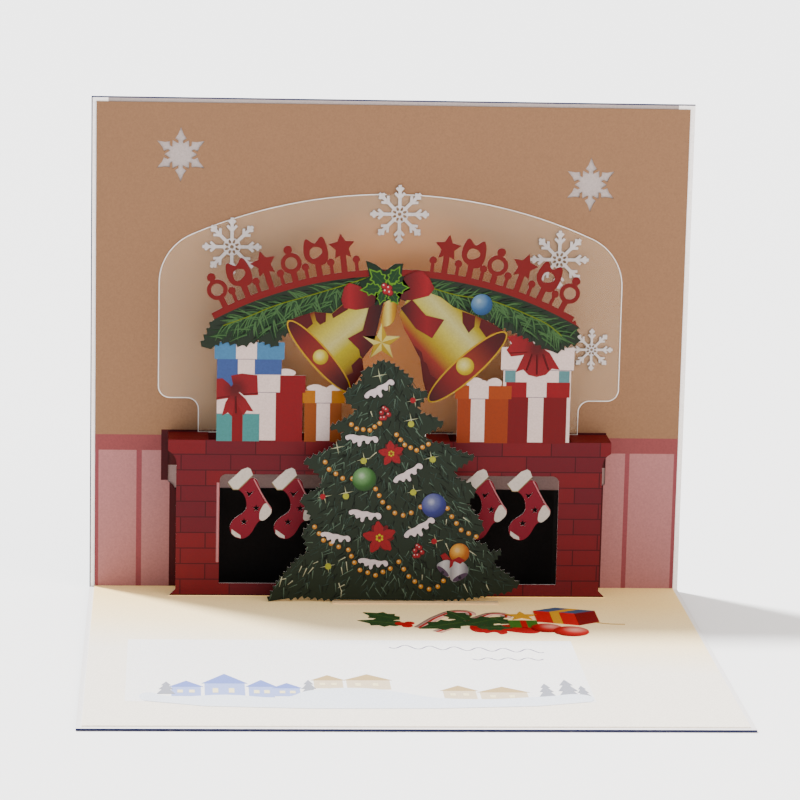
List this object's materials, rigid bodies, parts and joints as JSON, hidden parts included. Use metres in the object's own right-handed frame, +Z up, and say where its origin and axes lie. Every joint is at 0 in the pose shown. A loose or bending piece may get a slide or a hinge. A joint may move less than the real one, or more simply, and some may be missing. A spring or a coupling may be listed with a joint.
{
  "type": "pop up card",
  "caption": "Square-folded greetings card standing open, with a pop-up hearth, parcels, garland arch, tree and clear arched backdrop.",
  "frame": {"origin": "middle of the card's footprint, on the surface it stands on", "axes": "+X across the card, +Y back towards the upright leaf, +Z up"},
  "size_m": [0.18, 0.15, 0.15],
  "materials": {
    "cover_card": "coated card, navy outside and white inside",
    "printed_card": "coated card printed in flat colours",
    "black_card": "matt black card",
    "clear_film": "clear plastic film",
    "white_card": "uncoated white card",
    "garland_card": "coated card printed in greens, reds and gold",
    "tree_card": "coated card printed in dark greens"
  },
  "bodies": {
    "root": {"cover": "cover_card", "liner": "printed_card", "firebox": "black_card", "clear_screen": "clear_film", "snowflake_left": "white_card", "snowflake_middle": "white_card", "snowflake_right": "white_card", "snowflake_small": "white_card", "garland": "garland_card", "tree": "tree_card", "tree_brace": "white_card"}
  },
  "joints": []
}
